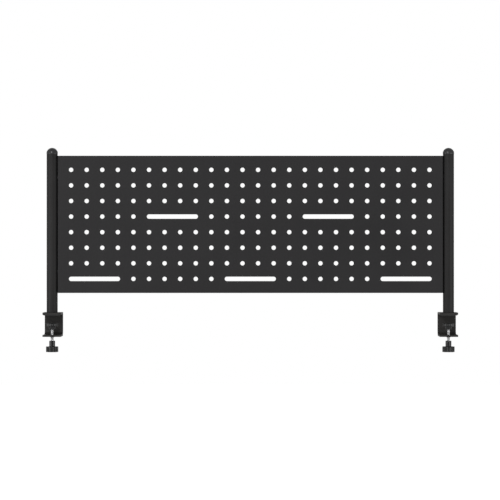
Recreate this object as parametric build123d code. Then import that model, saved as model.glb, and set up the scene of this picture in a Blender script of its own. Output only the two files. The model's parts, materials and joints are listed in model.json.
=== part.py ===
# Clamp-on desk pegboard. A folded, perforated steel panel hangs between two round
# steel posts. Each post stands on a C-clamp whose thumb screw pushes a swivelling
# pressure pad up against the underside of the desk.
#
# Millimetres. +X is to the right and +Y away from someone who faces the panel, and
# +Z is up. The origin is midway between the clamps, in the plane of the two post
# axes, at the height of the desk top's upper face, on which the jaw pads rest.

from build123d import *

import os
from math import cos, pi, radians, sin

# ---- peg grid -------------------------------------------------------------------
peg_pitch = 25.4            # from hole to hole, both ways
peg_hole_d = 7.14
peg_columns = 24
peg_rows = 8
slot_pitches = 3            # a slot's two end centres are this many pitches apart
slots = [(3, 5), (3, 15), (7, 0), (7, 10), (7, 20)]     # row from the top, first column

# ---- panel ----------------------------------------------------------------------
sheet = 1.2
panel_side_margin = 22.0    # centre of the outer column of holes to the panel's side
panel_end_margin = 23.0     # centre of the outer row of holes to the top or bottom
panel_flange = 14.0         # depth of the folded edges, over the sheet
panel_bend_r = 2.0          # outside radius of the folds
panel_setback = 1.5         # panel's face behind the posts' front
corner_seam = 0.5           # open slit between two folded edges at a corner
panel_above_foot = 32.0     # clamp's top face to the panel's lower edge

# ---- posts ----------------------------------------------------------------------
post_d = 18.0
post_wall = 1.2
post_above_panel = 2.7
cap_rim_step = 0.2          # cap's rim outside the post's wall
cap_rim_h = 3.3
cap_dome_h = 7.1
cap_stem_d = 10.0
cap_stem_h = 14.0
cap_fins = 4
cap_fin_t = 1.2
plug_h = 15.0               # threaded plug in the post's foot
inside_fit = 0.05           # gap all round what is pushed into a post

# ---- M5 screws of the posts and clamps ------------------------------------------
screw_d = 4.9               # over the thread
clearance_hole_d = 5.5
tapped_fit = 0.05           # gap all round any screw in its tapped hole
hex_key = 3.0               # across the flats of a post bolt's socket
hex_key_depth = 1.8

# ---- panel fasteners ------------------------------------------------------------
panel_screw_d = 2.9         # over the thread of an M3 screw
panel_screw_hole_d = 3.4
fastener_rows = 2           # screws in each side of the panel
fastener_spacing = 152.4
button_head_d = 5.7
button_head_h = 1.65
button_hex = 2.0            # across the flats of the head's socket
button_hex_depth = 1.0
panel_screw_length = 10.0
rivet_flange_d = 7.5
rivet_flange_t = 0.5        # also the gap between the panel and a post
rivet_body_d = 5.0
rivet_body_length = 8.5
rivet_bulge_d = 6.4
rivet_bulge_gap = 0.9       # from the post's inner wall to where the bulge starts
rivet_fit = 0.05            # gap all round a rivet nut in the post's wall

# ---- clamps ---------------------------------------------------------------------
bracket_width = 30.0
bracket_t = 3.0
bracket_throat = 42.0       # depth of the jaws inside the back
post_from_front = 12.0      # post axis to the jaws' front edges
bracket_height = 39.4       # over both jaws
bracket_top_r = 4.0         # outside radius of the tight upper bend
bracket_bottom_r = 9.5      # outside radius of the wide lower bend
bracket_corner_r = 2.5      # rounded front corners of the jaws
collar_d = 7.2              # drawn collar round the tapped hole
collar_h = 1.0
jaw_pad_t = 1.5
jaw_pad_inset = 0.5
jaw_pad_length = 36.0
jaw_pad_corner_r = 2.0
countersink_d = 9.8         # post bolt's head
post_bolt_length = 16.0

# ---- clamp screw, pressure pad and knob -----------------------------------------
jaw_gap = 13.0              # from the jaw pad to the pressure pad, as photographed
pad_d = 19.0
pad_t = 5.4
pad_ribs = 12
pad_scallop_r = 1.7
pad_scallop_depth = 0.8
pad_edge_r = 0.6
pad_neck_d = 11.0           # where it leaves the pad
pad_neck_end_d = 9.4
pad_neck_h = 5.0
socket_depth = 2.5          # how far the screw's full diameter enters the neck
lip_d = 3.7                 # snap-in lip inside the neck
lip_t = 1.2
swivel_neck_d = 3.5         # turned neck of the screw, inside the lip
swivel_head_d = 4.6
swivel_head_h = 3.0
swivel_fit = 0.1            # running gap of the swivel, all ways
knob_stem_d = 9.6
knob_stem_h = 9.3
knob_d = 20.0
knob_t = 9.1
knob_lobes = 8
knob_scallop_r = 3.0
knob_scallop_depth = 1.5
knob_edge_r = 0.8
knob_below_jaw_gap = 28.6   # pressure pad's face to the top of the knob's stem
screw_hex = 8.0             # across the flats of the clamp screw's head
screw_hex_h = 3.5
screw_hex_sunk = 1.0        # head's face inside the knob's lower face
hex_fit = 0.05

# ---- what follows from them -----------------------------------------------------
panel_w = (peg_columns - 1) * peg_pitch + 2 * panel_side_margin
panel_h = (peg_rows - 1) * peg_pitch + 2 * panel_end_margin
post_x = panel_w / 2 + rivet_flange_t + post_d / 2
post_bore = post_d - 2 * post_wall

foot_z = jaw_pad_t + bracket_t              # clamp's top face, which the post stands on
panel_bottom = foot_z + panel_above_foot
panel_top = panel_bottom + panel_h
panel_z = (panel_bottom + panel_top) / 2
post_top = panel_top + post_above_panel
panel_front = -post_d / 2 + panel_setback
panel_back = panel_front + sheet            # hollow side of the perforated face
fastener_zs = [panel_z + fastener_spacing * (i - (fastener_rows - 1) / 2)
               for i in range(fastener_rows)]

bracket_bottom = foot_z - bracket_height
jaw_floor = bracket_bottom + bracket_t      # lower jaw's inner face
bracket_front = -post_from_front
bracket_inner_back = bracket_front + bracket_throat

pad_top = -jaw_gap
pad_bottom = pad_top - pad_t
pad_neck_bottom = pad_bottom - pad_neck_h
lip_bottom = pad_neck_bottom + socket_depth
lip_top = lip_bottom + lip_t
socket_top = lip_top + swivel_head_h + 2 * swivel_fit
knob_stem_top = pad_top - knob_below_jaw_gap
knob_top = knob_stem_top - knob_stem_h
knob_bottom = knob_top - knob_t
screw_seat = knob_bottom + screw_hex_sunk + screw_hex_h     # pocket floor in the knob

sides = {"left": -1, "right": 1}


def along_x(shape, direction):
    """Turns a shape made along +Z from the origin so that it runs along +X or -X."""
    return Rotation(0, 90 * direction, 0) * shape


def revolved(points):
    """A solid of revolution about Z from its (radius, height) corners."""
    outline = Polyline(*[(r, 0, z) for r, z in points], close=True)
    return revolve(make_face(outline), Axis.Z)


def scalloped_disc(diameter, thickness, count, scallop_r, depth, edge_r, turn=0.0):
    """A disc with scallops cut round its rim, its lower face at the origin."""
    centre_r = diameter / 2 + scallop_r - depth
    bites = [Pos(centre_r * cos(a), centre_r * sin(a)) * Circle(scallop_r)
             for a in (2 * pi * (i + 0.5) / count + radians(turn) for i in range(count))]
    disc = extrude(Circle(diameter / 2) - bites, thickness)
    rims = disc.edges().group_by(Axis.Z)[0] + disc.edges().group_by(Axis.Z)[-1]
    return chamfer(rims, edge_r)


def hex_prism(flats, height):
    """A hexagonal prism standing on the origin."""
    return extrude(RegularPolygon(flats / 2, 6, major_radius=False), height)


def button_screw(length):
    """Button-head screw: its head below the origin, its shank up along +Z."""
    side = button_head_h * 0.25
    head = revolve(make_face(
        Line((0, 0, 0), (button_head_d / 2, 0, 0))
        + Line((button_head_d / 2, 0, 0), (button_head_d / 2, 0, -side))
        + ThreePointArc((button_head_d / 2, 0, -side),
                        (button_head_d * 0.38, 0, -button_head_h * 0.75),
                        (button_hex * 0.75, 0, -button_head_h))
        + Line((button_hex * 0.75, 0, -button_head_h), (0, 0, -button_head_h))
        + Line((0, 0, -button_head_h), (0, 0, 0))), Axis.Z)
    shank = extrude(Circle(panel_screw_d / 2), length)
    socket = Pos(0, 0, -button_head_h) * hex_prism(button_hex, button_hex_depth)
    return head + shank - socket


# ---- panel ----------------------------------------------------------------------
def peg_x(column):
    return (column - (peg_columns - 1) / 2) * peg_pitch


def peg_z(row):
    return panel_z + ((peg_rows - 1) / 2 - row) * peg_pitch


def peg_openings():
    """Round peg holes and long slots as one flat sketch in the panel's own plane."""
    slotted = {(row, first + i) for row, first in slots for i in range(slot_pitches + 1)}
    holes = [Pos(peg_x(c), peg_z(r)) * Circle(peg_hole_d / 2)
             for r in range(peg_rows) for c in range(peg_columns) if (r, c) not in slotted]
    long_slots = [Pos(peg_x(first + slot_pitches / 2), peg_z(row))
                  * SlotCenterToCenter(slot_pitches * peg_pitch, peg_hole_d)
                  for row, first in slots]
    return Sketch() + holes + long_slots


def panel():
    """A tray of folded sheet, open at the back, with its face perforated."""
    middle = Pos(0, panel_front + panel_flange / 2, panel_z)
    outer = middle * Box(panel_w, panel_flange, panel_h)
    outer = fillet(outer.faces().sort_by(Axis.Y)[0].edges(), panel_bend_r)
    inner = Pos(0, sheet, 0) * middle * Box(panel_w - 2 * sheet, panel_flange,
                                            panel_h - 2 * sheet)
    inner = fillet(inner.faces().sort_by(Axis.Y)[0].edges(), panel_bend_r - sheet)
    tray = outer - inner

    # The folds stop short of the corners, and the top and bottom edges meet the
    # side edges along an open seam.
    for side in (-1, 1):
        for end in (-1, 1):
            corner = Pos(side * panel_w / 2, panel_front, panel_z + end * panel_h / 2)
            tray -= corner * Box(2 * panel_bend_r, 2 * panel_bend_r, 2 * panel_bend_r)
            seam_x = side * (panel_w / 2 - sheet - corner_seam / 2)
            seam = Pos(seam_x, panel_front + panel_bend_r + panel_flange / 2,
                       panel_z + end * (panel_h / 2 - sheet / 2))
            tray -= seam * Box(corner_seam, panel_flange, 2 * sheet)

    face_plane = Plane(origin=(0, panel_back + sheet, 0), x_dir=(1, 0, 0), z_dir=(0, -1, 0))
    tray -= extrude(face_plane * peg_openings(), 3 * sheet)

    for z in fastener_zs:
        tray -= Pos(0, 0, z) * Rotation(0, 90, 0) * Cylinder(panel_screw_hole_d / 2, 2 * panel_w)
    return tray


# ---- one side: post, clamp and screw, all centred on the post's axis --------------
def post(inward):
    """Tube with a hole for each rivet nut on the side that faces the panel."""
    length = post_top - foot_z
    tube = extrude(Circle(post_d / 2) - Circle(post_bore / 2), length)
    tube = Pos(0, 0, foot_z) * tube
    for z in fastener_zs:
        hole = along_x(extrude(Circle(rivet_body_d / 2 + rivet_fit), post_d / 2), inward)
        tube -= Pos(0, 0, z) * hole
    return tube


def cap():
    """Domed cap; its finned stem is pushed into the open top of the post."""
    rim_r = post_d / 2 + cap_rim_step
    dome_r = (rim_r ** 2 + cap_dome_h ** 2) / (2 * cap_dome_h)
    dome_mid = (dome_r * sin(pi / 4), 0, cap_rim_h + cap_dome_h - dome_r * (1 - cos(pi / 4)))
    outline = (Line((0, 0, 0), (rim_r, 0, 0))
               + Line((rim_r, 0, 0), (rim_r, 0, cap_rim_h))
               + ThreePointArc((rim_r, 0, cap_rim_h), dome_mid, (0, 0, cap_rim_h + cap_dome_h))
               + Line((0, 0, cap_rim_h + cap_dome_h), (0, 0, 0)))
    body = revolve(make_face(outline), Axis.Z)
    body += Pos(0, 0, -cap_stem_h) * extrude(Circle(cap_stem_d / 2), cap_stem_h)
    fin_r = post_bore / 2 - inside_fit
    fin_step = cap_stem_h / cap_fins
    for i in range(cap_fins):
        body += Pos(0, 0, -fin_step * (i + 1)) * revolved(
            [(0, 0), (fin_r - cap_fin_t / 2, 0), (fin_r, cap_fin_t / 2),
             (fin_r, cap_fin_t), (0, cap_fin_t)])
    return Pos(0, 0, post_top) * body


def post_plug():
    """Threaded plug fixed in the post's foot, which the post bolt pulls down."""
    plug = extrude(Circle(post_bore / 2 - inside_fit) - Circle(screw_d / 2 + tapped_fit), plug_h)
    plug = chamfer(plug.edges().group_by(Axis.Z)[-1].sort_by(SortBy.LENGTH)[-1], 1.0)
    return Pos(0, 0, foot_z) * plug


def bolt_cone(head_d):
    """Countersunk head, its face at the underside of the upper jaw."""
    cone_h = (head_d - screw_d) / 2
    return Pos(0, 0, jaw_pad_t) * revolved(
        [(0, 0), (head_d / 2, 0), (screw_d / 2, cone_h), (0, cone_h)])


def post_bolt():
    """Countersunk bolt up through the upper jaw into the post's plug."""
    shank = Pos(0, 0, jaw_pad_t) * extrude(Circle(screw_d / 2), post_bolt_length)
    socket = Pos(0, 0, jaw_pad_t) * hex_prism(hex_key, hex_key_depth)
    return bolt_cone(countersink_d) + shank - socket


def rivet_nuts(inward):
    """Flanged rivet nuts in the post's wall, one at each panel screw."""
    bulge_start = post_wall + rivet_flange_t + rivet_bulge_gap
    bulge_step = (rivet_bulge_d - rivet_body_d) / 2
    reach = rivet_flange_t + rivet_body_length
    nut = revolved(
        [(0, 0), (rivet_flange_d / 2, 0), (rivet_flange_d / 2, rivet_flange_t),
         (rivet_body_d / 2, rivet_flange_t), (rivet_body_d / 2, bulge_start),
         (rivet_bulge_d / 2, bulge_start + bulge_step),
         (rivet_body_d / 2, bulge_start + 3 * bulge_step), (rivet_body_d / 2, reach),
         (0, reach)])
    nut -= extrude(Circle(panel_screw_d / 2 + tapped_fit), reach)
    start = inward * (post_d / 2 + rivet_flange_t)
    return [Pos(start, 0, z) * along_x(nut, -inward) for z in fastener_zs]


def panel_screws(inward):
    """Button-head screws from inside the panel's folded edge into the rivet nuts."""
    start = inward * (post_d / 2 + rivet_flange_t + sheet)
    screw = along_x(button_screw(panel_screw_length), -inward)
    return [Pos(start, 0, z) * screw for z in fastener_zs]


def bracket():
    """C-shaped clamp body bent from one strip, open towards the front."""
    def channel(inset, r_top, r_bottom):
        """Side view of the channel, drawn a little past the front edges."""
        front = bracket_front - 2 * bracket_t if inset else bracket_front
        back = bracket_inner_back + bracket_t - inset
        top, bottom = foot_z - inset, bracket_bottom + inset
        outline = Polyline((front, bottom), (back, bottom), (back, top), (front, top), close=True)
        face = make_face(outline)
        face = fillet(face.vertices().group_by(Axis.X)[-1].sort_by(Axis.Y)[0], r_bottom)
        return fillet(face.vertices().group_by(Axis.X)[-1].sort_by(Axis.Y)[-1], r_top)

    profile = (channel(0, bracket_top_r, bracket_bottom_r)
               - channel(bracket_t, bracket_top_r - bracket_t, bracket_bottom_r - bracket_t))
    side_view = Plane(origin=(-bracket_width / 2, 0, 0), x_dir=(0, 1, 0), z_dir=(1, 0, 0))
    body = extrude(side_view * profile, bracket_width)
    front_corners = body.edges().filter_by(Axis.Z).group_by(Axis.Y)[0]
    body = fillet(front_corners, bracket_corner_r)

    body -= bolt_cone(countersink_d + 2 * tapped_fit)
    body -= Pos(0, 0, jaw_pad_t) * extrude(Circle(clearance_hole_d / 2), bracket_t)
    collar = extrude(Circle(collar_d / 2), collar_h + bracket_t)
    body += Pos(0, 0, bracket_bottom - collar_h) * collar
    tapped_hole = extrude(Circle(screw_d / 2 + tapped_fit), collar_h + bracket_t)
    return body - Pos(0, 0, bracket_bottom - collar_h) * tapped_hole


def jaw_pad():
    """Rubber pad under the upper jaw, between it and the desk top."""
    width = bracket_width - 2 * jaw_pad_inset
    pad = extrude(RectangleRounded(width, jaw_pad_length, jaw_pad_corner_r), jaw_pad_t)
    return Pos(0, bracket_front + jaw_pad_inset + jaw_pad_length / 2, 0) * pad


def pressure_pad():
    """Ribbed pad that swivels on the end of the clamp screw."""
    body = Pos(0, 0, pad_bottom) * scalloped_disc(pad_d, pad_t, pad_ribs, pad_scallop_r,
                                                  pad_scallop_depth, pad_edge_r, turn=15)
    body += revolved([(0, pad_neck_bottom), (pad_neck_end_d / 2, pad_neck_bottom),
                      (pad_neck_d / 2, pad_bottom), (0, pad_bottom)])
    mouth_r = screw_d / 2 + swivel_fit
    cavity_r = swivel_head_d / 2 + swivel_fit
    return body - revolved(
        [(0, pad_neck_bottom), (mouth_r, pad_neck_bottom), (mouth_r, lip_bottom),
         (lip_d / 2, lip_bottom), (lip_d / 2, lip_top), (cavity_r, lip_top),
         (cavity_r, socket_top), (0, socket_top)])


def clamp_screw():
    """Screw with a hexagon head in the knob and a snap-in swivel at its tip."""
    shoulder = lip_bottom - swivel_fit
    head_start = lip_top + swivel_fit
    head_end = head_start + swivel_head_h
    taper = (swivel_head_d - swivel_neck_d) / 2
    spindle = revolved(
        [(0, screw_seat), (screw_d / 2, screw_seat), (screw_d / 2, shoulder),
         (swivel_neck_d / 2, shoulder), (swivel_neck_d / 2, head_start),
         (swivel_head_d / 2, head_start), (swivel_head_d / 2, head_end - taper),
         (swivel_neck_d / 2, head_end), (0, head_end)])
    head = Pos(0, 0, screw_seat - screw_hex_h) * hex_prism(screw_hex, screw_hex_h)
    return spindle + head


def knob():
    """Moulded thumb knob: a lobed grip under a round stem, with a pocket for the head."""
    grip = Pos(0, 0, knob_bottom) * scalloped_disc(knob_d, knob_t, knob_lobes, knob_scallop_r,
                                                   knob_scallop_depth, knob_edge_r, turn=-90)
    stem = extrude(Circle(knob_stem_d / 2), knob_stem_h)
    stem = Pos(0, 0, knob_top) * fillet(stem.edges().group_by(Axis.Z)[-1], knob_edge_r)
    pocket_depth = screw_hex_sunk + screw_hex_h
    pocket = Pos(0, 0, knob_bottom) * hex_prism(screw_hex + 2 * hex_fit, pocket_depth)
    bore = Pos(0, 0, knob_bottom) * extrude(Circle(screw_d / 2 + hex_fit), knob_t + knob_stem_h)
    return grip + stem - pocket - bore


def save(name, shape):
    """Writes one sub-part, however many equal solids it groups."""
    export_step(shape, f"parts/{name}.step")


os.makedirs("parts", exist_ok=True)
save("panel", panel())
for name, side in sides.items():
    place = Pos(side * post_x, 0, 0)
    inward = -side
    save(f"post_{name}", place * post(inward))
    save(f"cap_{name}", place * cap())
    save(f"post_plug_{name}", place * post_plug())
    save(f"post_bolt_{name}", place * post_bolt())
    save(f"rivet_nuts_{name}", place * Compound(rivet_nuts(inward)))
    save(f"panel_screws_{name}", place * Compound(panel_screws(inward)))
    save(f"bracket_{name}", place * bracket())
    save(f"jaw_pad_{name}", place * jaw_pad())
    save(f"pressure_pad_{name}", place * pressure_pad())
    save(f"clamp_screw_{name}", place * clamp_screw())
    save(f"knob_{name}", place * knob())

print(f"panel {panel_w:.1f} x {panel_h:.1f}, post axes at x = +/-{post_x:.1f}")
print(f"pressure pad may drop {pad_neck_bottom - jaw_floor:.1f} and rise "
      f"{bracket_bottom - collar_h - knob_stem_top:.1f} from where it is drawn")
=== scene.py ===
import json
import math

import bmesh
import bpy
from mathutils import Matrix, Vector


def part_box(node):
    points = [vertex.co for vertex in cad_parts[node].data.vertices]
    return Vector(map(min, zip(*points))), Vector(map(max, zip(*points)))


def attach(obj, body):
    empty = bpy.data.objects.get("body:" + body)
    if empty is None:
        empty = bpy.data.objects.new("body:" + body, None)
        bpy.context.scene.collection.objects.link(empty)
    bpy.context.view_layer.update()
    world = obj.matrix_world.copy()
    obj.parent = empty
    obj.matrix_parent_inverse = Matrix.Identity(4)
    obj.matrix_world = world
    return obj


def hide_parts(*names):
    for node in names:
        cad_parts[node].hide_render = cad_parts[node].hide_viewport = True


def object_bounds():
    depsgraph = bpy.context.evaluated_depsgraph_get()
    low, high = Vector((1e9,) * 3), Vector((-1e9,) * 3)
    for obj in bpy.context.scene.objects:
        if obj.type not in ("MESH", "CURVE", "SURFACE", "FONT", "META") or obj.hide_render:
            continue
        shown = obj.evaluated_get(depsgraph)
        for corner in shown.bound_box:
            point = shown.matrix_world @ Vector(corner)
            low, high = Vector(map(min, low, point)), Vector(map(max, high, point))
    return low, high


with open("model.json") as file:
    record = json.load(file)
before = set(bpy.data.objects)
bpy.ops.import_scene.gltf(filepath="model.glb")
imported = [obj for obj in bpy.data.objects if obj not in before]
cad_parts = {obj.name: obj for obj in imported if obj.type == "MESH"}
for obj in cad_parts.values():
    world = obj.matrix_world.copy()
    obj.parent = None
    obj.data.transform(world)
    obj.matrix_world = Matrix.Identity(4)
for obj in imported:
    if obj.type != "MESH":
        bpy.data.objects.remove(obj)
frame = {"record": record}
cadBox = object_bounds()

# A clamp-on desk pegboard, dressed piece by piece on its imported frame

mm = 0.001
sides = {"left": -1, "right": 1}

# what the pieces share; sizes are in millimetres unless a line says otherwise
shared = {
    "clampThread": {"radius": 2.45, "pitch": 0.8, "depth": 0.49},
    "panelThread": {"radius": 1.45, "pitch": 0.5, "depth": 0.31},
    "buttonRadius": 2.85,
    "rivetRadius": 3.75,
    "smoothAngle": 35.0,   # degrees; sharper edges than this stay crisp
    "bevelAngle": 50.0,
    "past": 1.0,           # how far a cutting tool runs out past what it opens
}


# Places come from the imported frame

def nodeBox(node):
    low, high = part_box(node)
    return Vector(low) / mm, Vector(high) / mm


def mountSizes(name):
    return next(mount["dims"] for mount in frame["record"]["mounts"] if mount["name"] == name)


def fastenerHeights(node, radius):
    # a node's two fasteners sit at its upper and lower end
    low, high = nodeBox(node)
    return low.z + radius, high.z - radius


# Small mesh tools

def roundedPath(corners, steps=5, closed=True):
    # corners are (across, up, rounding)
    path = []
    for i, (u, v, radius) in enumerate(corners):
        here = Vector((u, v))
        openEnd = not closed and i in (0, len(corners) - 1)
        if radius <= 0 or openEnd:
            path.append(here)
            continue
        back = (Vector(corners[i - 1][:2]) - here).normalized()
        ahead = (Vector(corners[(i + 1) % len(corners)][:2]) - here).normalized()
        half = back.angle(ahead) / 2
        centre = here + (back + ahead).normalized() * radius / math.sin(half)
        start = here + back * radius / math.tan(half) - centre
        end = here + ahead * radius / math.tan(half) - centre
        turn = start.angle_signed(end)
        for k in range(steps + 1):
            spin = Matrix.Rotation(-turn * k / steps, 2)
            path.append(centre + spin @ start)
    return path


def newObject(name, mesh):
    obj = bpy.data.objects.new(name, mesh)
    bpy.context.collection.objects.link(obj)
    return obj


def meshFrom(name, build, weld=0.0005, faceUp=False):
    work = bmesh.new()
    build(work)
    bmesh.ops.remove_doubles(work, verts=work.verts, dist=weld * mm)
    bmesh.ops.recalc_face_normals(work, faces=work.faces)
    work.faces.ensure_lookup_table()
    if faceUp and work.faces[0].normal.z < 0:
        bmesh.ops.reverse_faces(work, faces=work.faces)
    mesh = bpy.data.meshes.new(name)
    work.to_mesh(mesh)
    work.free()
    return mesh


def turned(name, profile, turnSides, rim=None, ring=False):
    # a lathe shape about Z from (radius, height) points; rim reshapes the radius
    def build(work):
        rows = []
        for radius, height in profile:
            if radius < 1e-6:
                rows.append([work.verts.new((0, 0, height * mm))])
                continue
            row = []
            for i in range(turnSides):
                angle = 2 * math.pi * i / turnSides
                reach = rim(angle, radius) if rim else radius
                row.append(work.verts.new((reach * math.cos(angle) * mm,
                                           reach * math.sin(angle) * mm, height * mm)))
            rows.append(row)
        pairs = list(zip(rows, rows[1:]))
        if ring:
            pairs.append((rows[-1], rows[0]))
        for low, high in pairs:
            for i in range(turnSides):
                j = (i + 1) % turnSides
                if len(low) == 1 and len(high) == 1:
                    continue
                if len(low) == 1:
                    work.faces.new((low[0], high[j], high[i]))
                elif len(high) == 1:
                    work.faces.new((low[i], low[j], high[0]))
                else:
                    work.faces.new((low[i], low[j], high[j], high[i]))
    return meshFrom(name, build)


def rod(name, radius, low, high, turnSides=32):
    return turned(name, [(0, low), (radius, low), (radius, high), (0, high)], turnSides)


def prism(name, outline, low, high):
    # a closed prism about Z from a convex outline of (x, y) points
    def build(work):
        bottom = [work.verts.new((x * mm, y * mm, low * mm)) for x, y in outline]
        top = [work.verts.new((x * mm, y * mm, high * mm)) for x, y in outline]
        work.faces.new(list(reversed(bottom)))
        work.faces.new(top)
        for i in range(len(outline)):
            j = (i + 1) % len(outline)
            work.faces.new((bottom[i], bottom[j], top[j], top[i]))
    return meshFrom(name, build)


def hexagon(flats):
    reach = flats / math.sqrt(3)
    return [(reach * math.cos(math.radians(60 * i)), reach * math.sin(math.radians(60 * i)))
            for i in range(6)]


def joined(name, meshes):
    work = bmesh.new()
    for mesh in meshes:
        work.from_mesh(mesh)
    mesh = bpy.data.meshes.new(name)
    work.to_mesh(mesh)
    work.free()
    return mesh


def cutOrAdd(obj, tool, operation):
    cutter = newObject("cutter", tool)
    modifier = obj.modifiers.new("cut", "BOOLEAN")
    modifier.operation = operation
    modifier.solver = "EXACT"
    modifier.object = cutter
    makePlain(obj)
    bpy.data.objects.remove(cutter)


def drillAcross(obj, radius, reach, x, z):
    # a round hole along X, as far as the reach to either side
    drill = rod("drill", radius, -reach, reach)
    drill.transform(Matrix.Translation(Vector((x, 0, z)) * mm)
                    @ Matrix.Rotation(math.radians(90), 4, "Y"))
    cutOrAdd(obj, drill, "DIFFERENCE")


def moveAcross(obj, low, high):
    # from the Z axis to the middle of a box, left to right
    obj.data.transform(Matrix.Translation(Vector(((low.x + high.x) / 2, 0, 0)) * mm))


def makePlain(obj):
    depsgraph = bpy.context.evaluated_depsgraph_get()
    result = bpy.data.meshes.new_from_object(obj.evaluated_get(depsgraph))
    obj.modifiers.clear()
    obj.data = result


def thicken(obj, thickness):
    modifier = obj.modifiers.new("sheet", "SOLIDIFY")
    modifier.thickness = thickness * mm
    modifier.offset = -1
    modifier.use_even_offset = True


def addBevel(obj, width, segments=2):
    modifier = obj.modifiers.new("softEdges", "BEVEL")
    modifier.width = width * mm
    modifier.segments = segments
    modifier.limit_method = "ANGLE"
    modifier.angle_limit = math.radians(shared["bevelAngle"])
    modifier.use_clamp_overlap = True


def finishPiece(obj, body, slotName, node):
    obj.data.shade_smooth()
    obj.data.set_sharp_from_angle(angle=math.radians(shared["smoothAngle"]))
    evenNormals = obj.modifiers.new("evenNormals", "WEIGHTED_NORMAL")
    evenNormals.keep_sharp = True
    makePlain(obj)
    obj.data.materials.clear()
    obj.data.materials.append(materials[slotName])
    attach(obj, body)
    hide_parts(node)


# Node tools

def wire(tree, pairs):
    for source, target in pairs:
        tree.links.new(source, target)


def newTree(name, inputs):
    tree = bpy.data.node_groups.new(name, "GeometryNodeTree")
    for label, kind in inputs:
        tree.interface.new_socket(label, in_out="INPUT", socket_type=f"NodeSocket{kind}")
    tree.interface.new_socket("Geometry", in_out="OUTPUT", socket_type="NodeSocketGeometry")
    given = tree.nodes.new("NodeGroupInput").outputs
    return tree, given, tree.nodes.new("NodeGroupOutput").inputs["Geometry"]


def runTree(obj, tree, values):
    modifier = obj.modifiers.new(tree.name, "NODES")
    modifier.node_group = tree
    for item in tree.interface.items_tree:
        if item.item_type == "SOCKET" and item.in_out == "INPUT" and item.name in values:
            modifier[item.identifier] = values[item.name]
    makePlain(obj)


def mathNode(tree, operation, first, second=None):
    node = tree.nodes.new("ShaderNodeMath")
    node.operation = operation
    for socket, value in zip(node.inputs, (first, second)):
        if isinstance(value, (int, float)):
            socket.default_value = value
        elif value is not None:
            tree.links.new(value, socket)
    return node.outputs[0]


# Materials

def newMaterial(name):
    material = bpy.data.materials.new(name)
    material.use_nodes = True
    tree = material.node_tree
    shader = tree.nodes["Principled BSDF"]
    place = tree.nodes.new("ShaderNodeTexCoord").outputs["Object"]
    return material, tree, shader, place


def noise(tree, place, size, detail=2.0):
    node = tree.nodes.new("ShaderNodeTexNoise")
    node.inputs["Scale"].default_value = 1 / (size * mm)
    node.inputs["Detail"].default_value = detail
    tree.links.new(place, node.inputs["Vector"])
    return node.outputs["Fac"]


def ramp(tree, factor, low, high):
    # noise keeps mostly between 0.3 and 0.7
    node = tree.nodes.new("ShaderNodeMapRange")
    node.inputs["From Min"].default_value = 0.3
    node.inputs["From Max"].default_value = 0.7
    node.inputs["To Min"].default_value = low
    node.inputs["To Max"].default_value = high
    tree.links.new(factor, node.inputs["Value"])
    return node.outputs["Result"]


def shade(tree, factor, dark, light):
    node = tree.nodes.new("ShaderNodeMix")
    node.data_type = "RGBA"
    node.inputs["A"].default_value = (*dark, 1)
    node.inputs["B"].default_value = (*light, 1)
    tree.links.new(factor, node.inputs["Factor"])
    return node.outputs["Result"]


def bump(tree, height, distance, under=None):
    node = tree.nodes.new("ShaderNodeBump")
    node.inputs["Distance"].default_value = distance * mm
    node.inputs["Strength"].default_value = 1.0
    tree.links.new(height, node.inputs["Height"])
    if under:
        tree.links.new(under, node.inputs["Normal"])
    return node.outputs["Normal"]


def coatedSteel(name, values):
    # fine-texture powder coat: tiny grains on a slight orange peel
    material, tree, shader, place = newMaterial(name)
    patches = noise(tree, place, values["patchSize"], 3.0)
    grains = noise(tree, place, values["grainSize"], 1.0)
    peel = noise(tree, place, values["peelSize"])
    colour = shade(tree, ramp(tree, patches, 0, 1), values["dark"], values["light"])
    roughness = ramp(tree, patches, *values["roughness"])
    rough = bump(tree, peel, values["peelDepth"])
    rough = bump(tree, grains, values["grainDepth"], under=rough)
    wire(tree, [(colour, shader.inputs["Base Color"]),
                (roughness, shader.inputs["Roughness"]),
                (rough, shader.inputs["Normal"])])
    shader.inputs["Specular IOR Level"].default_value = values["gloss"]
    return material


def mouldedPlastic(name, values):
    # spark-eroded mould texture with a trace of flow shading
    material, tree, shader, place = newMaterial(name)
    flow = noise(tree, place, values["flowSize"])
    spark = noise(tree, place, values["sparkSize"])
    wire(tree, [(shade(tree, ramp(tree, flow, 0, 1), values["dark"], values["light"]),
                 shader.inputs["Base Color"]),
                (ramp(tree, spark, *values["roughness"]), shader.inputs["Roughness"]),
                (bump(tree, spark, values["sparkDepth"]), shader.inputs["Normal"])])
    shader.inputs["Specular IOR Level"].default_value = values["gloss"]
    return material


def platedSteel(name, values):
    # cloudy brightness and fine turning marks about Z
    material, tree, shader, place = newMaterial(name)
    clouds = noise(tree, place, values["cloudSize"], 3.0)
    stretch = tree.nodes.new("ShaderNodeMapping")
    stretch.inputs["Scale"].default_value = values["markStretch"]
    tree.links.new(place, stretch.inputs["Vector"])
    marks = noise(tree, stretch.outputs["Vector"], values["markSize"])
    wire(tree, [(shade(tree, ramp(tree, clouds, 0, 1), values["dark"], values["light"]),
                 shader.inputs["Base Color"]),
                (ramp(tree, marks, *values["roughness"]), shader.inputs["Roughness"]),
                (bump(tree, marks, values["markDepth"]), shader.inputs["Normal"])])
    shader.inputs["Metallic"].default_value = values["metallic"]
    return material


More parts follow.
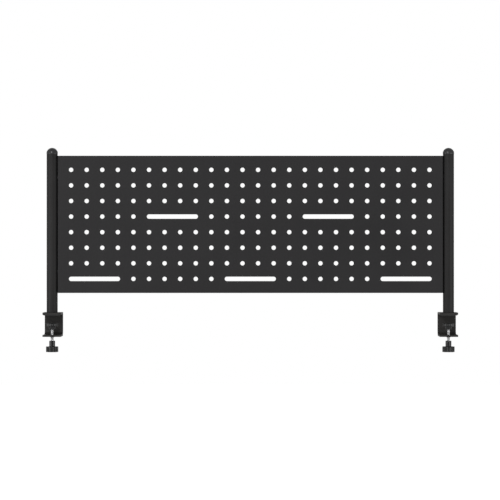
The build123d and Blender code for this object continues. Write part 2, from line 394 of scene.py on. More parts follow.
# what finishes of one kind have in common
powder = {"grainSize": 0.35, "grainDepth": 0.012, "peelSize": 1.6, "peelDepth": 0.006,
          "gloss": 0.15}
moulded = {"sparkSize": 0.25, "sparkDepth": 0.004}
plated = {"cloudSize": 4, "markSize": 0.12, "markStretch": (0.15, 0.15, 1.0)}
materials = {
    "panel_coat": coatedSteel("panelCoat", {
        **powder, "dark": (0.0178, 0.0172, 0.018), "light": (0.0218, 0.0212, 0.022),
        "patchSize": 90, "roughness": (0.52, 0.60)}),
    "post_coat": coatedSteel("postCoat", {
        **powder, "dark": (0.014, 0.0135, 0.0135), "light": (0.018, 0.0175, 0.0175),
        "patchSize": 60, "roughness": (0.46, 0.54)}),
    "clamp_coat": coatedSteel("clampCoat", {
        **powder, "dark": (0.022, 0.021, 0.020), "light": (0.027, 0.0255, 0.0245),
        "patchSize": 30, "roughness": (0.36, 0.44)}),
    "cap_plastic": mouldedPlastic("capPlastic", {
        **moulded, "dark": (0.020, 0.020, 0.021), "light": (0.024, 0.024, 0.025),
        "flowSize": 12, "roughness": (0.22, 0.28), "gloss": 0.4}),
    "knob_plastic": mouldedPlastic("knobPlastic", {
        **moulded, "dark": (0.006, 0.006, 0.006), "light": (0.009, 0.009, 0.009),
        "flowSize": 8, "roughness": (0.18, 0.24), "gloss": 0.35}),
    "pad_plastic": mouldedPlastic("padPlastic", {
        **moulded, "dark": (0.004, 0.004, 0.004), "light": (0.006, 0.006, 0.006),
        "flowSize": 8, "roughness": (0.18, 0.24), "gloss": 0.4}),
    "jaw_rubber": mouldedPlastic("jawRubber", {
        "sparkSize": 0.5, "sparkDepth": 0.03, "dark": (0.032, 0.032, 0.032),
        "light": (0.038, 0.038, 0.038), "flowSize": 15, "roughness": (0.75, 0.85),
        "gloss": 0.25}),
    "zinc_steel": platedSteel("zincSteel", {
        **plated, "dark": (0.70, 0.70, 0.71), "light": (0.80, 0.80, 0.80),
        "markDepth": 0.008, "roughness": (0.28, 0.40), "metallic": 1.0}),
    "black_screws": platedSteel("blackScrews", {
        **plated, "dark": (0.018, 0.018, 0.019), "light": (0.030, 0.030, 0.031),
        "markDepth": 0.005, "roughness": (0.35, 0.45), "metallic": 0.6}),
}
print("materials ready")


# Camera, light and floor

camera = {
    "distance": 3500.0,      # from the plane of the post axes
    "scale": 1.6333,         # millimetres across one pixel in that plane
    "pixels": 500,
    "height": 106.6,         # of the optical axis
    "aside": -0.5,
    "sensor": 36.0,
    "clip": (0.05, 60),      # metres
}
studio = {
    "worldStrength": 0.5,   # as a light; what the camera sees is white
    "aim": (0, 0, 0.1),
    "softboxes": {           # watts, place and size in metres
        "frontBox": (20.0, (-0.6, -2.3, 1.0), 0.8),
        "leftBox": (6.0, (-1.35, -0.8, 0.0), 0.6),
        "rightBox": (6.0, (1.35, -0.8, 0.0), 0.6),
    },
}
floorLook = {"drop": 340.0, "size": 9000.0, "colour": 0.82, "glow": 0.78, "roughness": 0.9,
             "gloss": 0.1}


def makeCamera(values):
    data = bpy.data.cameras.new("camera")
    data.sensor_width = values["sensor"]
    data.lens = values["sensor"] * values["distance"] / (values["scale"] * values["pixels"])
    data.clip_start, data.clip_end = values["clip"]
    obj = newObject("camera", data)
    obj.location = (values["aside"] * mm, -values["distance"] * mm, values["height"] * mm)
    obj.rotation_euler = (math.radians(90), 0, 0)
    bpy.context.scene.camera = obj


def seenRays(tree):
    # 1 for what the camera sees, 0 for light that spreads or is mirrored
    return tree.nodes.new("ShaderNodeLightPath").outputs["Is Camera Ray"]


def makeStudio(values):
    world = bpy.data.worlds.new("studio")
    world.use_nodes = True
    tree = world.node_tree
    background = tree.nodes["Background"]
    background.inputs["Color"].default_value = (1, 1, 1, 1)
    level = tree.nodes.new("ShaderNodeMapRange")
    level.inputs["To Min"].default_value = values["worldStrength"]
    level.inputs["To Max"].default_value = 1.0
    wire(tree, [(seenRays(tree), level.inputs["Value"]),
                (level.outputs["Result"], background.inputs["Strength"])])
    bpy.context.scene.world = world
    for name, (power, place, size) in values["softboxes"].items():
        data = bpy.data.lights.new(name, "AREA")
        data.energy = power
        data.size = size
        box = newObject(name, data)
        box.location = place
        aim = Vector(values["aim"]) - Vector(place)
        box.rotation_euler = aim.to_track_quat("-Z", "Y").to_euler()


def makeFloor(values):
    half = values["size"] / 2
    corners = [(-half, -half), (half, -half), (half, half), (-half, half)]
    height = cadBox[0][2] / mm - values["drop"]

    def build(work):
        work.faces.new([work.verts.new((x * mm, y * mm, height * mm)) for x, y in corners])

    floor = newObject("floor", meshFrom("floor", build))
    material, tree, shader = newMaterial("paleFloor")[:3]
    grey = values["colour"]
    shader.inputs["Base Color"].default_value = (grey, grey, grey, 1)
    shader.inputs["Roughness"].default_value = values["roughness"]
    shader.inputs["Specular IOR Level"].default_value = values["gloss"]
    glow = mathNode(tree, "MULTIPLY", seenRays(tree), values["glow"])
    shader.inputs["Emission Color"].default_value = (1, 1, 1, 1)
    tree.links.new(glow, shader.inputs["Emission Strength"])
    floor.data.materials.append(material)


makeCamera(camera)
makeStudio(studio)
makeFloor(floorLook)
bpy.context.scene.view_settings.view_transform = "Standard"
print("camera, light and floor ready")


# Panel: a sheet perforated by nodes, its edges folded back

panelValues = {
    "sheet": 1.2,
    "bend": 2.0,
    "bendSteps": 6,
    "seam": 0.5,
    "pitch": 25.4,
    "columns": 24,
    "rows": 8,
    "holeSides": 32,
    "slotPitches": 3,
    "slots": [(3, 5), (3, 15), (7, 0), (7, 10), (7, 20)],   # row from the top, first column
    "screwHole": 1.7,
    "drillReach": 20.0,
    "rimBevel": 0.22,
}


def perforationTree():
    # every point becomes a round hole or, where marked, a long slot in one flat sheet
    tree, size, result = newTree("perforatedSheet", [
        ("Geometry", "Geometry"), ("Sheet Width", "Float"), ("Sheet Height", "Float"),
        ("Hole Radius", "Float"), ("Slot Length", "Float"), ("Hole Sides", "Int")])
    edge = tree.nodes.new("GeometryNodeCurvePrimitiveQuadrilateral")
    hole = tree.nodes.new("GeometryNodeCurvePrimitiveCircle")
    bar = tree.nodes.new("GeometryNodeCurvePrimitiveQuadrilateral")
    roundEnds = tree.nodes.new("GeometryNodeFilletCurve")
    roundEnds.mode = "POLY"
    marked = tree.nodes.new("GeometryNodeInputNamedAttribute")
    marked.data_type = "BOOLEAN"
    marked.inputs["Name"].default_value = "slot"
    plain = tree.nodes.new("FunctionNodeBooleanMath")
    plain.operation = "NOT"
    holes = tree.nodes.new("GeometryNodeInstanceOnPoints")
    longSlots = tree.nodes.new("GeometryNodeInstanceOnPoints")
    together = tree.nodes.new("GeometryNodeJoinGeometry")
    real = tree.nodes.new("GeometryNodeRealizeInstances")
    fill = tree.nodes.new("GeometryNodeFillCurve")
    diameter = mathNode(tree, "MULTIPLY", size["Hole Radius"], 2)
    # just under the radius, so that the two corners of an end stay apart
    reach = mathNode(tree, "MULTIPLY", size["Hole Radius"], 0.9999)
    quarter = mathNode(tree, "DIVIDE", size["Hole Sides"], 4)
    wire(tree, [
        (size["Sheet Width"], edge.inputs["Width"]),
        (size["Sheet Height"], edge.inputs["Height"]),
        (size["Hole Sides"], hole.inputs["Resolution"]),
        (size["Hole Radius"], hole.inputs["Radius"]),
        (size["Slot Length"], bar.inputs["Width"]),
        (diameter, bar.inputs["Height"]),
        (bar.outputs["Curve"], roundEnds.inputs["Curve"]),
        (reach, roundEnds.inputs["Radius"]),
        (quarter, roundEnds.inputs["Count"]),
        (marked.outputs["Attribute"], plain.inputs[0]),
        (size["Geometry"], holes.inputs["Points"]),
        (plain.outputs[0], holes.inputs["Selection"]),
        (hole.outputs["Curve"], holes.inputs["Instance"]),
        (size["Geometry"], longSlots.inputs["Points"]),
        (marked.outputs["Attribute"], longSlots.inputs["Selection"]),
        (roundEnds.outputs["Curve"], longSlots.inputs["Instance"]),
        (edge.outputs["Curve"], together.inputs["Geometry"]),
        (holes.outputs["Instances"], together.inputs["Geometry"]),
        (longSlots.outputs["Instances"], together.inputs["Geometry"]),
        (together.outputs["Geometry"], real.inputs["Geometry"]),
        (real.outputs["Geometry"], fill.inputs["Curve"]),
        (fill.outputs["Mesh"], result)])
    return tree


def openingPoints(values):
    # one point for each opening, slots marked, in a flat plan about the panel's middle
    def plan(row, column):
        return ((column - (values["columns"] - 1) / 2) * values["pitch"] * mm,
                ((values["rows"] - 1) / 2 - row) * values["pitch"] * mm, 0)

    taken = {(row, first + i) for row, first in values["slots"]
             for i in range(values["slotPitches"] + 1)}
    points = [plan(row, column) for row in range(values["rows"])
              for column in range(values["columns"]) if (row, column) not in taken]
    slotPoints = [plan(row, first + values["slotPitches"] / 2) for row, first in values["slots"]]
    mesh = bpy.data.meshes.new("openings")
    mesh.from_pydata(points + slotPoints, [], [])
    marks = mesh.attributes.new("slot", "BOOLEAN", "POINT")
    marks.data.foreach_set("value", [False] * len(points) + [True] * len(slotPoints))
    return mesh


def foldEdges(work, values, width, height, depth):
    # bend and flange along each side; the sheet lies in XY and the folds go down to -Z
    bend, steps = values["bend"], values["bendSteps"]
    for across, half, length, ends in (
            ("y", height / 2, width, width / 2 - values["sheet"] - values["seam"]),
            ("x", width / 2, height, height / 2)):
        for side in (-1, 1):
            def point(along, out, down):
                x, y = (out * side, along) if across == "x" else (along, out * side)
                return work.verts.new((x * mm, y * mm, -down * mm))

            reach = length / 2 - bend
            arc = [(half - bend + bend * math.sin(a), bend - bend * math.cos(a))
                   for a in (math.pi / 2 * i / steps for i in range(steps + 1))]
            rows = [(point(-reach, out, down), point(reach, out, down)) for out, down in arc]
            for (a, b), (c, d) in zip(rows, rows[1:]):
                work.faces.new((a, b, d, c))
            a, b = rows[-1]
            work.faces.new((point(-ends, half, bend), a, b, point(ends, half, bend),
                            point(ends, half, depth), point(-ends, half, depth)))


def makePanel(values):
    low, high = nodeBox("panel")
    width, depth, height = high - low
    middle = (low + high) / 2
    panel = newObject("panel_sheet", openingPoints(values))
    runTree(panel, perforationTree(), {
        "Sheet Width": (width - 2 * values["bend"]) * mm,
        "Sheet Height": (height - 2 * values["bend"]) * mm,
        "Hole Radius": mountSizes("outer_peg_holes")["hole_r_mm"] * mm,
        "Slot Length": mountSizes("upper_slots")["slot_length_mm"] * mm,
        "Hole Sides": values["holeSides"]})

    def build(work):
        work.from_mesh(panel.data)
        foldEdges(work, values, width, height, depth)

    panel.data = meshFrom("panel", build, 0.002, faceUp=True)
    panel.data.transform(Matrix.Translation(Vector((middle.x, low.y, middle.z)) * mm)
                         @ Matrix.Rotation(math.radians(90), 4, "X"))
    thicken(panel, values["sheet"])
    makePlain(panel)
    for side in sides:
        screws = f"panel_screws_{side}"
        screwLow, screwHigh = nodeBox(screws)
        for z in fastenerHeights(screws, shared["buttonRadius"]):
            drillAcross(panel, values["screwHole"], values["drillReach"],
                        (screwLow.x + screwHigh.x) / 2, z)
    addBevel(panel, values["rimBevel"])
    makePlain(panel)
    finishPiece(panel, "frame", "panel_coat", "panel")
    print("panel:", len(panel.data.polygons), "faces")


makePanel(panelValues)


# Posts and their caps

postValues = {"wall": 1.2, "edge": 0.35, "turnSides": 96, "rivetHole": 2.55,
              "drillReach": 5.0}
capValues = {"rimRadius": 9.2, "rimHeight": 3.3, "stemRadius": 5.0, "stemHeight": 14.0,
             "finRadius": 7.75, "fins": 4, "finThickness": 1.2, "finTaper": 0.6, "edge": 0.5,
             "domeSteps": 14, "turnSides": 96}


def makePost(side, values):
    node = f"post_{side}"
    low, high = nodeBox(node)
    radius = (high.x - low.x) / 2
    bore = radius - values["wall"]
    edge = values["edge"]
    ring = roundedPath([(bore, low.z, edge), (radius, low.z, edge),
                        (radius, high.z, edge), (bore, high.z, edge)], 3)
    post = newObject(f"post_tube_{side}", turned("post", ring, values["turnSides"], ring=True))
    moveAcross(post, low, high)
    rivets = f"rivet_nuts_{side}"
    rivetLow, rivetHigh = nodeBox(rivets)
    start = rivetHigh.x if side == "left" else rivetLow.x
    for z in fastenerHeights(rivets, shared["rivetRadius"]):
        drillAcross(post, values["rivetHole"], values["drillReach"], start, z)
    finishPiece(post, "frame", "post_coat", node)


def makeCap(side, values):
    node = f"cap_{side}"
    low, high = nodeBox(node)
    seat = nodeBox(f"post_{side}")[1].z
    rimTop = seat + values["rimHeight"]
    domeHeight = high.z - rimTop
    domeRadius = (values["rimRadius"] ** 2 + domeHeight ** 2) / (2 * domeHeight)
    reach = math.asin(values["rimRadius"] / domeRadius)
    profile = [(0, low.z)]
    step = values["stemHeight"] / values["fins"]
    for i in range(values["fins"], 0, -1):
        base = seat - step * i
        profile += [(values["finRadius"] - values["finTaper"], base),
                    (values["finRadius"], base + values["finTaper"]),
                    (values["finRadius"], base + values["finThickness"]),
                    (values["stemRadius"], base + values["finThickness"]),
                    (values["stemRadius"], base + step)]
    edge = roundedPath([(values["stemRadius"], seat, 0),
                        (values["rimRadius"], seat, values["edge"]),
                        (values["rimRadius"], rimTop, 0)], 4, closed=False)
    profile += edge[1:]
    for i in range(1, values["domeSteps"] + 1):
        angle = reach * (1 - i / values["domeSteps"])
        profile.append((domeRadius * math.sin(angle),
                        high.z - domeRadius * (1 - math.cos(angle))))
    cap = newObject(f"cap_dome_{side}", turned("cap", profile, values["turnSides"]))
    moveAcross(cap, low, high)
    finishPiece(cap, "frame", "cap_plastic", node)


for side in sides:
    makePost(side, postValues)
    makeCap(side, capValues)
print("posts and caps ready")


# Clamp bodies, bent from a strip

clampValues = {"thickness": 3.0, "topBend": 4.0, "bottomBend": 9.5, "bendSteps": 8,
               "cornerRadius": 2.5, "cornerSteps": 6, "collarRadius": 3.6, "collarEdge": 0.3,
               "collarRoot": 0.6, "collarHeight": 1.0, "tappedHole": 2.5, "boltHole": 2.75,
               "sinkRadius": 5.95, "sinkDepth": 2.2, "edge": 0.45, "across": 8,
               "turnSides": 48}


def stripRows(values, low, high):
    # half widths along the outer face, from the upper jaw's front edge to the lower jaw's
    bottom = low.z + values["collarHeight"]
    path = roundedPath([(low.y, high.z, 0), (high.y, high.z, values["topBend"]),
                        (high.y, bottom, values["bottomBend"]), (low.y, bottom, 0)],
                       values["bendSteps"], closed=False)
    corner, steps = values["cornerRadius"], values["cornerSteps"]
    half = (high.x - low.x) / 2
    nose = [corner * (1 - math.cos(math.pi / 2 * i / steps)) for i in range(steps + 1)]

    def narrowed(fromEdge):
        return half - corner + math.sqrt(max(corner ** 2 - (corner - fromEdge) ** 2, 0))

    start, end = path[0], path[-1]
    rows = [((start.x + d, start.y), narrowed(d)) for d in nose]
    rows += [(point, half) for point in path[1:-1]]
    rows += [((end.x + d, end.y), narrowed(d)) for d in reversed(nose)]
    return rows


def makeClamp(side, values):
    node = f"bracket_{side}"
    low, high = nodeBox(node)
    count = values["across"]

    def build(work):
        grid = [[work.verts.new(((half * (2 * i / count - 1)) * mm, y * mm, z * mm))
                 for i in range(count + 1)] for (y, z), half in stripRows(values, low, high)]
        for upper, lower in zip(grid, grid[1:]):
            for i in range(count):
                work.faces.new((upper[i], upper[i + 1], lower[i + 1], lower[i]))

    clamp = newObject(f"clamp_body_{side}", meshFrom("clamp", build, faceUp=True))
    thicken(clamp, values["thickness"])
    addBevel(clamp, values["edge"], 3)
    makePlain(clamp)

    turnSides, past = values["turnSides"], shared["past"]
    bottom = low.z + values["collarHeight"]
    radius, edge, root = values["collarRadius"], values["collarEdge"], values["collarRoot"]
    collar = turned("collar", [
        (0, low.z), (radius - edge, low.z), (radius, low.z + edge), (radius, bottom - root),
        (radius + 0.25 * root, bottom - 0.3 * root), (radius + root, bottom),
        (radius + root, bottom + past), (0, bottom + past)], turnSides)
    cutOrAdd(clamp, collar, "UNION")
    hole = rod("hole", values["tappedHole"], low.z - past,
               bottom + values["thickness"] + 2 * past, turnSides)
    cutOrAdd(clamp, hole, "DIFFERENCE")
    face = high.z - values["thickness"]
    sink = turned("sink", [
        (0, face - past), (values["sinkRadius"], face - past),
        (values["boltHole"], face + values["sinkDepth"]),
        (values["boltHole"], high.z + past), (0, high.z + past)], turnSides)
    cutOrAdd(clamp, sink, "DIFFERENCE")
    moveAcross(clamp, low, high)
    finishPiece(clamp, "frame", "clamp_coat", node)


for side in sides:
    makeClamp(side, clampValues)
print("clamp bodies ready")


# Jaw pads, ribbed by nodes on the face that meets the desk

jawValues = {"base": 0.9, "cornerRadius": 2.0, "ribCount": 13, "ribWidth": 1.7,
             "ribInset": 1.6, "ribSunk": 0.05, "edge": 0.2}


def ribTree():
    # equal bars set out along a line
    tree, size, result = newTree("evenRibs", [
        ("Count", "Int"), ("Start", "Vector"), ("Step", "Vector"), ("Rib Size", "Vector")])
    line = tree.nodes.new("GeometryNodeMeshLine")
    rib = tree.nodes.new("GeometryNodeMeshCube")
    ribs = tree.nodes.new("GeometryNodeInstanceOnPoints")
    real = tree.nodes.new("GeometryNodeRealizeInstances")
    wire(tree, [
        (size["Count"], line.inputs["Count"]),
        (size["Start"], line.inputs["Start Location"]),
        (size["Step"], line.inputs["Offset"]),
        (size["Rib Size"], rib.inputs["Size"]),
        (line.outputs["Mesh"], ribs.inputs["Points"]),
        (rib.outputs["Mesh"], ribs.inputs["Instance"]),
        (ribs.outputs["Instances"], real.inputs["Geometry"]),
        (real.outputs["Geometry"], result)])
    return tree


def makeJawPad(side, tree, values):
    node = f"jaw_pad_{side}"
    low, high = nodeBox(node)
    middle = (low + high) / 2
    outline = roundedPath([(x, y, values["cornerRadius"]) for x, y in (
        (low.x, low.y), (high.x, low.y), (high.x, high.y), (low.x, high.y))], 6)
    slab = prism("jawSlab", outline, high.z - values["base"], high.z)
    ribs = newObject("ribs", bpy.data.meshes.new("ribs"))
    first = low.y + values["ribWidth"] / 2
    last = high.y - values["ribWidth"] / 2
    step = (last - first) / (values["ribCount"] - 1)
    ribLength = high.x - low.x - 2 * values["ribInset"]
    ribHeight = high.z - low.z - values["base"] + values["ribSunk"]
    runTree(ribs, tree, {
        "Count": values["ribCount"],
        "Start": Vector((middle.x, first, low.z + ribHeight / 2)) * mm,
        "Step": Vector((0, step, 0)) * mm,
        "Rib Size": Vector((ribLength, values["ribWidth"], ribHeight)) * mm})
    pad = newObject(f"jaw_rubber_{side}", joined("jawPad", [slab, ribs.data]))
    bpy.data.objects.remove(ribs)
    addBevel(pad, values["edge"])
    makePlain(pad)
    finishPiece(pad, "frame", "jaw_rubber", node)


evenRibs = ribTree()
for side in sides:
    makeJawPad(side, evenRibs, jawValues)
print("jaw pads ready")


# Clamp screws: the thread is wound by nodes

threadValues = {
    "rowsEachTurn": 8,
    "spareRows": 4,
    "flatRows": 1.5,       # rows at each end that lie at one height
    "closedRows": 0.5,     # of these, the part that is drawn in to the axis
    "crestEnds": 0.12,     # shares of half a pitch
    "rootStarts": 0.85,
}


def threadTree(values):
    # a grid wrapped round Z, its radius following a right-hand thread
    tree, size, result = newTree("screwThread", [
        ("Length", "Float"), ("Radius", "Float"), ("Depth", "Float"), ("Pitch", "Float"),
        ("Sides", "Int")])
    turns = mathNode(tree, "DIVIDE", size["Length"], size["Pitch"])
    threadRows = mathNode(tree, "MULTIPLY", turns, values["rowsEachTurn"])
    rowCount = mathNode(tree, "ADD", threadRows, values["spareRows"])
    grid = tree.nodes.new("GeometryNodeMeshGrid")
    grid.inputs["Size X"].default_value = 1
    grid.inputs["Size Y"].default_value = 1
    columnCount = mathNode(tree, "ADD", size["Sides"], 1)
    place = tree.nodes.new("GeometryNodeInputPosition")
    split = tree.nodes.new("ShaderNodeSeparateXYZ")
    around = mathNode(tree, "ADD", split.outputs["X"], 0.5)
    up = mathNode(tree, "ADD", split.outputs["Y"], 0.5)
    # the first and last rows close the ends, at the height of their neighbours
    spare = mathNode(tree, "DIVIDE", values["flatRows"], rowCount)
    stretch = mathNode(tree, "ADD", mathNode(tree, "MULTIPLY", spare, 2), 1)
    share = mathNode(tree, "SUBTRACT", mathNode(tree, "MULTIPLY", up, stretch), spare)
    clampNode = tree.nodes.new("ShaderNodeClamp")
    tree.links.new(share, clampNode.inputs["Value"])
    height = mathNode(tree, "MULTIPLY", clampNode.outputs[0], size["Length"])
    endGap = mathNode(tree, "MINIMUM", up, mathNode(tree, "SUBTRACT", 1, up))
    closed = mathNode(tree, "DIVIDE", values["closedRows"], rowCount)
    inside = mathNode(tree, "GREATER_THAN", endGap, closed)
    wound = mathNode(tree, "SUBTRACT", mathNode(tree, "DIVIDE", height, size["Pitch"]), around)
    phase = mathNode(tree, "FRACT", mathNode(tree, "ADD", wound, 1))
    fromMiddle = mathNode(tree, "ABSOLUTE", mathNode(tree, "SUBTRACT", phase, 0.5))
    flatTop = tree.nodes.new("ShaderNodeMapRange")
    flatTop.inputs["From Min"].default_value = values["crestEnds"]
    flatTop.inputs["From Max"].default_value = values["rootStarts"]
    tree.links.new(mathNode(tree, "MULTIPLY", fromMiddle, 2), flatTop.inputs["Value"])
    cut = mathNode(tree, "MULTIPLY", flatTop.outputs["Result"], size["Depth"])
    radius = mathNode(tree, "MULTIPLY", mathNode(tree, "SUBTRACT", size["Radius"], cut), inside)
    angle = mathNode(tree, "MULTIPLY", around, 2 * math.pi)
    spot = tree.nodes.new("ShaderNodeCombineXYZ")
    move = tree.nodes.new("GeometryNodeSetPosition")
    weld = tree.nodes.new("GeometryNodeMergeByDistance")
    weld.inputs["Distance"].default_value = 0.002 * mm
    wire(tree, [
        (columnCount, grid.inputs["Vertices X"]),
        (rowCount, grid.inputs["Vertices Y"]),
        (place.outputs["Position"], split.inputs["Vector"]),
        (mathNode(tree, "MULTIPLY", radius, mathNode(tree, "COSINE", angle)), spot.inputs["X"]),
        (mathNode(tree, "MULTIPLY", radius, mathNode(tree, "SINE", angle)), spot.inputs["Y"]),
        (height, spot.inputs["Z"]),
        (grid.outputs["Mesh"], move.inputs["Geometry"]),
        (spot.outputs["Vector"], move.inputs["Position"]),
        (move.outputs["Geometry"], weld.inputs["Geometry"]),
        (weld.outputs["Geometry"], result)])
    return tree


screwThread = threadTree(threadValues)


def threadMesh(kind, start, length, turnSides=24):
    thread = newObject("thread", bpy.data.meshes.new("thread"))
    runTree(thread, screwThread, {
        "Length": length * mm, "Radius": kind["radius"] * mm, "Depth": kind["depth"] * mm,
        "Pitch": kind["pitch"] * mm, "Sides": turnSides})
    mesh = meshFrom("thread", lambda work: work.from_mesh(thread.data))
    bpy.data.objects.remove(thread)
    mesh.transform(Matrix.Translation(Vector((0, 0, start)) * mm))
    return mesh


screwValues = {"headFlats": 8.0, "headHeight": 3.5, "shoulderBelowTip": 4.6, "sunk": 0.2,
               "neckRadius": 1.75, "tipRadius": 2.3, "tipHeight": 3.0, "tipTaper": 0.6,
               "turnSides": 32}


def makeClampScrew(side, values):
    node = f"clamp_screw_{side}"
    low, high = nodeBox(node)
    seat = low.z + values["headHeight"]
    shoulder = high.z - values["shoulderBelowTip"]
    head = prism("head", hexagon(values["headFlats"]), low.z, seat)
    thread = threadMesh(shared["clampThread"], seat, shoulder - seat)
    neck, tipStart = values["neckRadius"], high.z - values["tipHeight"]
    tip = turned("tip", [(0, shoulder - values["sunk"]), (neck, shoulder - values["sunk"]),
                         (neck, tipStart), (values["tipRadius"], tipStart),
                         (values["tipRadius"], high.z - values["tipTaper"]),
                         (neck, high.z), (0, high.z)], values["turnSides"])
    screw = newObject(f"screw_rod_{side}", joined("clampScrew", [head, thread, tip]))
    moveAcross(screw, low, high)
    finishPiece(screw, f"{side}_screw", "zinc_steel", node)


for side in sides:
    makeClampScrew(side, screwValues)
print("clamp screws ready")


# Pressure pads and knobs: lathe shapes with scalloped rims

def scallopedRim(values, count):
    # a disc's outline with round bites; only what lies outside the core is reshaped
    outer, core, tipSoft = values["radius"], values["coreRadius"], values["tipSoft"]
    biteRadius = values["biteRadius"]
    centre = outer + biteRadius - values["biteDepth"]
    step = 2 * math.pi / count

    def rim(angle, radius):
        if radius <= core:
            return radius
        offset = angle % step - step / 2
        limit = outer
        if abs(centre * math.sin(offset)) < biteRadius:
            bite = centre * math.cos(offset) - math.sqrt(
                biteRadius ** 2 - (centre * math.sin(offset)) ** 2)
            limit = min(outer, bite)
        gap = outer - limit
        softened = outer - 0.5 * (gap + math.sqrt(gap ** 2 + tipSoft ** 2)) + 0.5 * tipSoft
        return radius - (outer - min(softened, outer))
    return rim


padValues = {"radius": 9.5, "thickness": 5.4, "edge": 1.0, "ribs": 12, "biteRadius": 1.7,
             "biteDepth": 0.8, "tipSoft": 0.25, "coreRadius": 7.8, "neckRadius": 5.5,
             "neckEndRadius": 4.7, "mouthRadius": 2.55, "mouthDepth": 2.5,
             "ringRadius": 6.2, "ringWidth": 1.4, "ringSlope": 0.3, "ringDepth": 0.35,
             "turnSides": 192}
knobValues = {"radius": 10.0, "thickness": 9.1, "edge": 0.9, "lobes": 8, "biteRadius": 3.0,
              "biteDepth": 1.5, "tipSoft": 0.4, "coreRadius": 7.4, "stemRadius": 4.8,
              "stemEdge": 0.8, "stemRoot": 0.7, "boreRadius": 2.5, "pocketFlats": 8.1,
              "pocketDepth": 4.5, "turnSides": 192}


def makePressurePad(side, values):
    node = f"pressure_pad_{side}"
    low, high = nodeBox(node)
    base = high.z - values["thickness"]
    radius, edge, mouth = values["radius"], values["edge"], values["mouthRadius"]
    mouthTop = low.z + values["mouthDepth"]
    ring, slope, groove = values["ringRadius"], values["ringSlope"], high.z - values["ringDepth"]
    ringEnd = ring + values["ringWidth"]
    profile = roundedPath([
        (0, mouthTop, 0), (mouth, mouthTop, 0), (mouth, low.z, 0.2),
        (values["neckEndRadius"], low.z, 0.4), (values["neckRadius"], base, 0.5),
        (radius, base, edge), (radius, high.z, edge), (ringEnd, high.z, 0.15),
        (ringEnd - slope, groove, 0.1), (ring + slope, groove, 0.1), (ring, high.z, 0.15),
        (0, high.z, 0)], 4, closed=False)
    pad = newObject(f"swivel_pad_{side}", turned("pad", profile, values["turnSides"],
                                                 scallopedRim(values, values["ribs"])))
    moveAcross(pad, low, high)
    finishPiece(pad, f"{side}_foot", "pad_plastic", node)


def makeKnob(side, values):
    node = f"knob_{side}"
    low, high = nodeBox(node)
    top = low.z + values["thickness"]
    radius, edge, stem = values["radius"], values["edge"], values["stemRadius"]
    profile = roundedPath([
        (0, low.z, 0), (radius, low.z, edge), (radius, top, edge),
        (stem, top, values["stemRoot"]), (stem, high.z, values["stemEdge"]),
        (0, high.z, 0)], 5, closed=False)
    knob = newObject(f"knob_grip_{side}", turned("knob", profile, values["turnSides"],
                                                 scallopedRim(values, values["lobes"])))
    pocket = prism("pocket", hexagon(values["pocketFlats"]), low.z - shared["past"],
                   low.z + values["pocketDepth"])
    cutOrAdd(knob, pocket, "DIFFERENCE")
    bore = rod("bore", values["boreRadius"], low.z, high.z + shared["past"])
    cutOrAdd(knob, bore, "DIFFERENCE")
    moveAcross(knob, low, high)
    finishPiece(knob, f"{side}_screw", "knob_plastic", node)


for side in sides:
    makePressurePad(side, padValues)
    makeKnob(side, knobValues)
print("pressure pads and knobs ready")


# Fasteners: one of each is made, and nodes set it at every place

buttonValues = {
    "headHeight": 1.65,
    # shares of the radius and the height, then the rounding
    "dome": [(0.53, 1.0, 0.2), (0.8, 0.72, 1.0), (1.0, 0.2, 0.25)],
    "seatEdge": 0.12,
    "length": 10.0,
    "hexKey": 2.0,
    "socketDepth": 1.0,
    "sunk": 0.2,
    "turnSides": 48,
    "threadSides": 20,
}
rivetValues = {"flange": 0.5, "bodyRadius": 2.5, "reach": 9.0, "threadGap": 0.05,
               "mouthEdge": 0.12, "bulgeStart": 2.6, "bulge": 0.7, "turnSides": 48}
plugValues = {"radius": 7.75, "bore": 2.5, "mouthEdge": 0.3, "lowerEdge": 0.2,
              "upperEdge": 0.8, "turnSides": 64}
boltValues = {"headRadius": 4.9, "edge": 0.1, "hexKey": 3.0, "socketDepth": 1.8, "sunk": 0.1,
              "turnSides": 48, "threadSides": 20}


def copyTree():
    # one object set at every point, with the same turn
    tree, given, result = newTree("setAtPlaces", [
        ("Geometry", "Geometry"), ("Piece", "Object"), ("Turn", "Vector")])
    piece = tree.nodes.new("GeometryNodeObjectInfo")
    copies = tree.nodes.new("GeometryNodeInstanceOnPoints")
    real = tree.nodes.new("GeometryNodeRealizeInstances")
    wire(tree, [
        (given["Piece"], piece.inputs["Object"]),
        (given["Geometry"], copies.inputs["Points"]),
        (piece.outputs["Geometry"], copies.inputs["Instance"]),
        (given["Turn"], copies.inputs["Rotation"]),
        (copies.outputs["Instances"], real.inputs["Geometry"]),
        (real.outputs["Geometry"], result)])
    return tree


setAtPlaces = copyTree()


def setCopies(name, prototype, places, turn):
    mesh = bpy.data.meshes.new(name)
    mesh.from_pydata([Vector(place) * mm for place in places], [], [])
    copies = newObject(name, mesh)
    runTree(copies, setAtPlaces, {"Piece": prototype, "Turn": (0, math.radians(turn), 0)})
    return copies


def buttonPrototype(values):
    # head below the origin, thread up along Z
    height, radius = values["headHeight"], shared["buttonRadius"]
    dome = [(radius * across, -height * down, rounding)
            for across, down, rounding in values["dome"]]
    profile = roundedPath([(0, -height, 0), *dome, (radius, 0, values["seatEdge"]), (0, 0, 0)],
                          5, closed=False)
    head = newObject("buttonHead", turned("head", profile, values["turnSides"]))
    socket = prism("socket", hexagon(values["hexKey"]), -height - shared["past"],
                   -height + values["socketDepth"])
    cutOrAdd(head, socket, "DIFFERENCE")
    thread = threadMesh(shared["panelThread"], -values["sunk"],
                        values["length"] + values["sunk"], values["threadSides"])
    head.data = joined("buttonScrew", [head.data, thread])
    return head


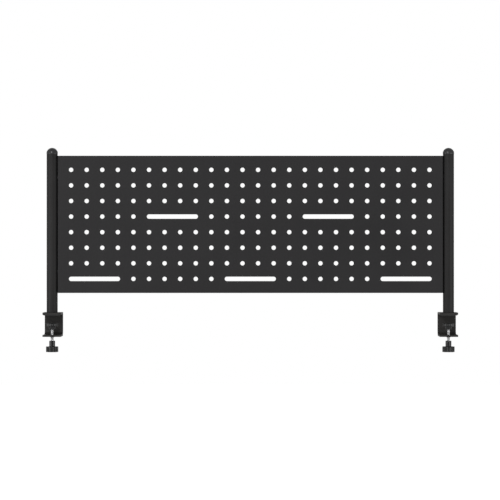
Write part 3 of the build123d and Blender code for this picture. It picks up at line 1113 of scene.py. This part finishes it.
def rivetPrototype(values):
    start, swell = values["bulgeStart"], values["bulge"]
    flange, body = shared["rivetRadius"], values["bodyRadius"]
    inner = shared["panelThread"]["radius"] + values["threadGap"]
    ring = roundedPath([
        (inner, 0, values["mouthEdge"]), (flange, 0, 0.15), (flange, values["flange"], 0.15),
        (body, values["flange"], 0.05), (body, start, 0.1), (body + swell, start + swell, 0.4),
        (body, start + 3 * swell, 0.3), (body, values["reach"], 0.2),
        (inner, values["reach"], values["mouthEdge"])], 3)
    return newObject("rivetNut", turned("rivet", ring, values["turnSides"], ring=True))


def makeFasteners(side, button, rivet):
    outward = sides[side]
    screws, nuts = f"panel_screws_{side}", f"rivet_nuts_{side}"
    screwLow, screwHigh = nodeBox(screws)
    rivetLow, rivetHigh = nodeBox(nuts)
    if outward < 0:
        headFace, flangeFace = screwHigh.x - buttonValues["headHeight"], rivetHigh.x
    else:
        headFace, flangeFace = screwLow.x + buttonValues["headHeight"], rivetLow.x
    heights = fastenerHeights(screws, shared["buttonRadius"])
    for name, prototype, face, node in (("button_screws", button, headFace, screws),
                                        ("rivets", rivet, flangeFace, nuts)):
        copies = setCopies(f"{name}_{side}", prototype, [(face, 0, z) for z in heights],
                           90 * outward)
        finishPiece(copies, "frame", "black_screws", node)


def makeFootPlug(side, values):
    node = f"post_plug_{side}"
    low, high = nodeBox(node)
    ring = roundedPath([(values["bore"], low.z, values["mouthEdge"]),
                        (values["radius"], low.z, values["lowerEdge"]),
                        (values["radius"], high.z, values["upperEdge"]),
                        (values["bore"], high.z, values["mouthEdge"])], 3)
    plug = newObject(f"foot_plug_{side}", turned("plug", ring, values["turnSides"], ring=True))
    moveAcross(plug, low, high)
    finishPiece(plug, "frame", "zinc_steel", node)


def makeFootBolt(side, values):
    # countersunk, up through the jaw into the plug
    node = f"post_bolt_{side}"
    low, high = nodeBox(node)
    radius, edge = values["headRadius"], values["edge"]
    shank = shared["clampThread"]["radius"]
    coneTop = low.z + radius - shank
    cone = newObject("cone", turned("cone", [
        (0, low.z), (radius - edge, low.z), (radius, low.z + edge), (shank, coneTop),
        (0, coneTop)], values["turnSides"]))
    socket = prism("socket", hexagon(values["hexKey"]), low.z - shared["past"],
                   low.z + values["socketDepth"])
    cutOrAdd(cone, socket, "DIFFERENCE")
    start = coneTop - values["sunk"]
    thread = threadMesh(shared["clampThread"], start, high.z - start, values["threadSides"])
    bolt = newObject(f"foot_bolt_{side}", joined("bolt", [cone.data, thread]))
    bpy.data.objects.remove(cone)
    moveAcross(bolt, low, high)
    finishPiece(bolt, "frame", "zinc_steel", node)


button = buttonPrototype(buttonValues)
rivet = rivetPrototype(rivetValues)
for side in sides:
    makeFasteners(side, button, rivet)
    makeFootPlug(side, plugValues)
    makeFootBolt(side, boltValues)
bpy.data.objects.remove(button)
bpy.data.objects.remove(rivet)
print("fasteners ready")
